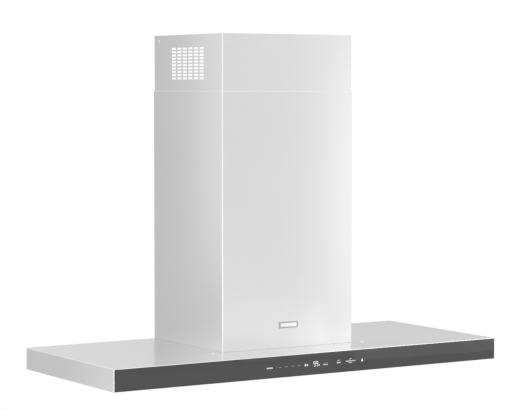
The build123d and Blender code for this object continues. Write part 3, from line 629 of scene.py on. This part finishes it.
def add_digit(bm, x, z, width, height, stroke, lit):
    """A seven-segment digit; lit names segments, a at the top, then clockwise, g in the middle."""
    half_w, half_h = width / 2, height / 2
    upright = half_h - stroke * 1.3
    bars = {
        "a": (0, half_h, width - stroke, stroke),
        "b": (half_w, half_h / 2, stroke, upright),
        "c": (half_w, -half_h / 2, stroke, upright),
        "d": (0, -half_h, width - stroke, stroke),
        "e": (-half_w, -half_h / 2, stroke, upright),
        "f": (-half_w, half_h / 2, stroke, upright),
        "g": (0, 0, width - stroke, stroke),
    }
    for name in lit:
        dx, dz, bar_w, bar_h = bars[name]
        add_mark(bm, x + dx, z + dz, bar_w, bar_h)


def add_slant(bm, x, z, width, height):
    """A short rising stroke made of stepped bars."""
    steps = 4
    for index in range(steps):
        offset = (index + 0.5) / steps - 0.5
        bar_w, bar_h = width / steps * 1.2, height / steps * 1.8
        add_mark(bm, x + offset * width, z + offset * height, bar_w, bar_h)


def make_control_marks():
    """Lit, soft and faint touch marks and the two-digit display, all generic."""
    lit = bmesh.new()
    for x in (-32.5, -26.5):
        add_chevron(lit, x, MARK_Z, size=4.6, stroke=2.3)
    add_mark(lit, 152, MARK_Z, width=3.4, height=5.4)
    add_mark(lit, 152, MARK_Z + 3.9, width=2.0, height=1.4)
    for x in (-3.4, 5.0):
        add_digit(lit, x, MARK_Z + 1.4, width=5.2, height=12.2, stroke=1.0, lit=SEGMENTS_OF_NINE)
    add_mark(lit, 10.8, MARK_Z - 3.4, width=1.6, height=1.8)
    add_mark(lit, 13.2, MARK_Z - 2.6, width=1.3, height=3.4)
    add_piece("control_marks", lit, ["print_lit"])

    soft = bmesh.new()
    add_dashes(soft, -145, MARK_Z, width=19, height=2.9, count=7)
    add_dashes(soft, 75, MARK_Z - 0.6, width=12, height=2.9, count=5)
    add_slant(soft, 75, MARK_Z + 5.2, width=6.5, height=2.2)
    add_slant(soft, 113, MARK_Z + 6.8, width=6.5, height=2.4)
    add_dashes(soft, 114, MARK_Z + 1.2, width=32, height=2.1, count=9)
    add_dashes(soft, 113, MARK_Z - 3.0, width=12, height=1.7, count=5)
    add_dashes(soft, 32, MARK_Z - 2.8, width=16, height=2.0, count=5)
    add_piece("control_marks_soft", soft, ["print_soft"])

    dim = bmesh.new()
    for x in (-113, -93, -72, -51):
        add_dashes(dim, x, MARK_Z, width=10, height=1.6, count=3)
    add_dashes(dim, 32, MARK_Z + 1.8, width=13, height=1.3, count=5)
    add_piece("control_marks_dim", dim, ["print_dim"])


# ---------------------------------------------------------------- trim and fasteners
def make_badge():
    """A blank plate with a raised rim and a plain light bar in place of lettering."""
    low, high = (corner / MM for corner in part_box("badge"))
    front = low.y
    plate_face, rim_face, rim_back = front + 0.55, front + 0.1, front + 0.9
    bm = bmesh.new()
    add_block(bm, (low.x, plate_face, low.z), high, bevel=0.4)
    for z in (low.z, high.z - BADGE_RIM):
        add_block(bm, (low.x, rim_face, z), (high.x, rim_back, z + BADGE_RIM), bevel=0.3)
    for x in (low.x, high.x - BADGE_RIM):
        rail_low = (x, rim_face, low.z + 0.3)
        rail_high = (x + BADGE_RIM, rim_back, high.z - 0.3)
        add_block(bm, rail_low, rail_high, bevel=0.3)
    middle = (low.z + high.z) / 2
    bar_low = (low.x + 5, front, middle - BADGE_BAR_H / 2)
    bar_high = (high.x - 5, front + 0.8, middle + BADGE_BAR_H / 2)
    add_block(bm, bar_low, bar_high, bevel=0.35, material=1)
    for line in (middle - BADGE_LINE_OFFSET, middle + BADGE_LINE_OFFSET):
        line_low = (low.x + 8, front - 0.02, line - BADGE_LINE_H / 2)
        line_high = (high.x - 8, front + 0.3, line + BADGE_LINE_H / 2)
        add_block(bm, line_low, line_high)
    add_piece("badge_plate", bm, ["badge_metal", "badge_light"], nodes=["badge"])


def make_base_shadow_line():
    """A thin dark strip round the foot of the lower cover, most of all in front: a painted shadow
    line where the cover meets the canopy.
    """
    low, high = (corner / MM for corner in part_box("lower_chimney"))
    front_proud, side_proud = 0.21, 0.12
    front_low = (low.x + 3, low.y - front_proud, low.z)
    front_high = (high.x - 3, low.y + 0.2, low.z + front_proud)
    bm = bmesh.new()
    # painted shadow line along the front of the lower cover's foot
    add_block(bm, front_low, front_high)
    for side_x in (low.x, high.x):
        side_low = (side_x - side_proud, low.y + 3, low.z)
        side_high = (side_x + side_proud, high.y - 1, low.z + side_proud)
        add_block(bm, side_low, side_high)
    add_piece("base_shadow_line", bm, ["painted_shadow_dark"])


def make_rim_shadow_line():
    """A thin dark strip between the covers' fronts, its edge showing above the lower cover's rim: a
    painted shadow line at the seam.
    """
    low, high = (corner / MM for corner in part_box("lower_chimney"))
    inside_y = low.y + COVER_SHEET
    slack, proud = 0.05, 0.15
    shadow_low = (low.x + 5, inside_y + slack, high.z - 3)
    shadow_high = (high.x - 5, inside_y + COVER_GAP - slack, high.z + proud)
    bm = bmesh.new()
    # painted shadow line just above the lower cover's rim
    add_block(bm, shadow_low, shadow_high)
    add_piece("rim_shadow_line", bm, ["painted_shadow_dark"])


def make_screws():
    """The canopy's, pan's and upper cover's screws, with cross recesses, at their CAD places."""
    low, high = (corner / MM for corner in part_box("canopy_top_screws"))
    radius = (high.y - low.y) / 2
    y = (low.y + high.y) / 2
    roof = cross_screw(radius, ROOF_SCREW_HEAD, shank=2.0, shank_length=7.9)
    bm = bmesh.new()
    places = [(x, y, high.z - ROOF_SCREW_HEAD) for x in (low.x + radius, high.x - radius)]
    add_copies(bm, roof, places, [(0, 0, 1)] * 2)
    # the roof screws' lighter colour is a painted highlight
    add_piece("roof_screws", bm, ["screw_painted_highlight"], nodes=["canopy_top_screws"])

    low, high = (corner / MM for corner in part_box("pan_screws"))
    radius = PAN_SCREW_RADIUS
    pan = cross_screw(radius, PAN_SCREW_HEAD, shank=2.0, shank_length=7.3)
    xs = (low.x + radius, -PAN_SCREW_INNER_X, PAN_SCREW_INNER_X, high.x - radius)
    ys = (low.y + radius, high.y - radius)
    places = [(x, y, low.z + PAN_SCREW_HEAD) for x in xs for y in ys]
    bm = bmesh.new()
    add_copies(bm, pan, places, [(0, 0, -1)] * len(places))
    add_piece("underside_screws", bm, ["screw_steel"], nodes=["pan_screws"])

    low, high = (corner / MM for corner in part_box("upper_cover_screws"))
    radius = (high.y - low.y) / 2
    centre = ((low.y + high.y) / 2, (low.z + high.z) / 2)
    side = cross_screw(radius, SIDE_SCREW_HEAD, shank=1.6, shank_length=8.9)
    places = [(low.x + SIDE_SCREW_HEAD, *centre), (high.x - SIDE_SCREW_HEAD, *centre)]
    bm = bmesh.new()
    add_copies(bm, side, places, [(-1, 0, 0), (1, 0, 0)])
    add_piece(
        "cover_side_screws",
        bm,
        ["screw_painted_highlight"],
        body="upper_cover",
        nodes=["upper_cover_screws"],
    )


# ---------------------------------------------------------------- lamps
def make_lamps():
    """Each lamp's lens with moulded rings, over a white board with its LED chips."""
    for number in range(1, 5):
        node = f"lamp_lens_{number}"
        low, high = (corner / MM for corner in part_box(node))
        x, y = (low.x + high.x) / 2, (low.y + high.y) / 2
        radius = (high.x - low.x) / 2
        bm = bmesh.new()
        ring_width = (radius - LENS_RIM) / LENS_RINGS
        profile = [(0, high.z - 1.2), (radius, high.z - 1.2), (radius, low.z + 0.2)]
        for ring in range(LENS_RINGS, 0, -1):
            profile.append((ring_width * ring, low.z + 0.1))
            profile.append((ring_width * (ring - 0.25), low.z + 0.75))
        profile.append((0, low.z + 0.2))
        add_lathe(bm, profile, (x, y, 0), steps=56)
        add_piece(f"lamp_optic_{number}", bm, ["lamp_glass"], nodes=[node])

        board = bmesh.new()
        face, back = LAMP_BOARD_Z
        board_radius = radius - 3
        disc = [(0, back), (board_radius, back), (board_radius, face), (0, face)]
        add_lathe(board, disc, (x, y, 0), steps=40)
        for chip in range(LED_COUNT):
            turn = math.tau * chip / LED_COUNT
            chip_x = x + LED_CIRCLE_RADIUS * math.cos(turn)
            chip_y = y + LED_CIRCLE_RADIUS * math.sin(turn)
            chip_low = (chip_x - LED_HALF, chip_y - LED_HALF, face - 0.6)
            chip_high = (chip_x + LED_HALF, chip_y + LED_HALF, face + 0.05)
            add_block(board, chip_low, chip_high, bevel=0.2, material=1)
        add_piece(f"lamp_leds_{number}", board, ["board_white", "led_phosphor"])


# ---------------------------------------------------------------- inside the covers
def add_rivet(bm, place, axis, flip):
    """A pop rivet along an axis; flip is 1 or -1, the way that its head faces."""
    add_lathe(bm, RIVET_PROFILE, place, axis, steps=18, flip=flip)


def make_rivets():
    """Pop rivets on the blower box and the duct collar's flange."""
    low, high = (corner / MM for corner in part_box("blower_box"))
    bm = bmesh.new()
    for x in (low.x + RIVET_INSET, high.x - RIVET_INSET):
        for y in (low.y + 12, (low.y + high.y) / 2, high.y - 12):
            add_rivet(bm, (x, y, high.z), "Z", 1)
    for z in RIVET_HEIGHTS:
        for x in (low.x + RIVET_INSET, high.x - RIVET_INSET):
            add_rivet(bm, (x, low.y, z), "Y", -1)
    low, high = (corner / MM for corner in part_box("duct_collar"))
    for x in (low.x + FLANGE_RIVET_INSET, high.x - FLANGE_RIVET_INSET):
        for y in (low.y + FLANGE_RIVET_INSET, high.y - FLANGE_RIVET_INSET):
            add_rivet(bm, (x, y, FLANGE_TOP_Z), "Z", 1)
    add_piece("box_rivets", bm, ["bearing_steel"])


def make_data_plate():
    """A blank data plate on the junction box, with dark bars in place of text."""
    low, high = (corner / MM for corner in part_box("junction_box"))
    bm = bmesh.new()
    plate_low = (low.x + 52, low.y + 12, high.z)
    plate_high = (high.x - 8, low.y + 50, high.z + 0.4)
    add_block(bm, plate_low, plate_high, bevel=0.15)
    left = low.x + 56
    for line, width in enumerate(DATA_LINE_WIDTHS):
        y = low.y + 18 + DATA_LINE_PITCH * line
        add_block(bm, (left, y, high.z + 0.3), (left + width, y + 2, high.z + 0.5), material=1)
    add_piece("data_plate", bm, ["badge_light", "black_plastic"])


def make_power_lead():
    """The sheathed lead from the junction box to the power board, with its clips and grommets."""
    start_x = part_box("junction_box")[1].x / MM
    end_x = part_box("power_board_box")[0].x / MM
    y = LEAD_Y
    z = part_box("blower_box")[1].z / MM + LEAD_RADIUS + 0.6
    end_z = z + LEAD_RISE
    route = [
        (start_x - 1, y, end_z),
        (start_x + 8, y, end_z),
        (start_x + 18, y - 2, z + 1),
        (-4, y - 4, z),
        (14, y - 2, z),
        (end_x - 16, y + 1, z + 1),
        (end_x - 7, y, end_z),
        (end_x + 1, y, end_z),
    ]
    curve = bpy.data.curves.new("power_lead", "CURVE")
    curve.dimensions = "3D"
    curve.bevel_depth = LEAD_RADIUS * MM
    curve.bevel_resolution = 4
    curve.use_fill_caps = True
    spline = curve.splines.new("NURBS")
    spline.points.add(len(route) - 1)
    for point, place in zip(spline.points, route):
        point.co = (*(Vector(place) * MM), 1.0)
    spline.order_u = 3
    spline.use_endpoint_u = True
    curve.materials.append(MATERIALS["cable_black"])
    lead = bpy.data.objects.new("power_lead", curve)
    bpy.context.scene.collection.objects.link(lead)
    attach(lead, "hood")

    bm = bmesh.new()
    for x in CLIP_XS:
        add_block(bm, (x - 4, y - 10, z - 4.2), (x + 4, y + 4, z - 3.2), bevel=0.2)
        add_arch(bm, (x, y - 3, z), radius=4.6, thickness=1.0, width=8.0)
    add_piece("lead_clips", bm, ["black_plastic"])
    bm = bmesh.new()
    for x, flip in ((start_x, 1), (end_x, -1)):
        add_lathe(bm, GROMMET_PROFILE, (x, y, end_z), "X", steps=24, flip=flip)
    add_piece("lead_grommets", bm, ["rubber"])


def add_arch(bm, centre, radius, thickness, width):
    """A half-round strap over a lead that runs along X."""
    steps = 12
    inner, outer, half = radius, radius + thickness, width / 2
    rows = []
    for step in range(steps + 1):
        turn = math.pi * step / steps
        row = []
        for reach, x in ((inner, -half), (inner, half), (outer, half), (outer, -half)):
            spot = Vector((x, reach * math.cos(turn), reach * math.sin(turn)))
            row.append(bm.verts.new((Vector(centre) + spot) * MM))
        rows.append(row)
    for first, second in zip(rows, rows[1:]):
        for side in range(4):
            after = (side + 1) % 4
            bm.faces.new((first[side], first[after], second[after], second[side]))
    bm.faces.new(rows[0])
    bm.faces.new(rows[-1])


def make_filter_rivets():
    """Four rivets in the underside corners of each filter's frame."""
    for side in ("left", "centre", "right"):
        low, high = (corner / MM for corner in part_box(f"filter_baffles_{side}"))
        frame_low, frame_high = (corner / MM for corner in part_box(f"filter_frame_{side}"))
        bm = bmesh.new()
        for x in (low.x + 2, high.x - 2):
            for y in (frame_low.y + 6, frame_high.y - 5):
                add_lathe(bm, FILTER_RIVET_PROFILE, (x, y, frame_low.z - 0.3), steps=18)
        add_piece(f"filter_rivets_{side}", bm, ["screw_steel"], body=f"filter_{side}")


make_camera()
make_world()
make_lights()
make_floor()
make_materials()
dress_cad_nodes()
make_control_glass()
make_control_marks()
make_badge()
make_base_shadow_line()
make_rim_shadow_line()
make_screws()
make_lamps()
make_rivets()
make_data_plate()
make_power_lead()
make_filter_rivets()
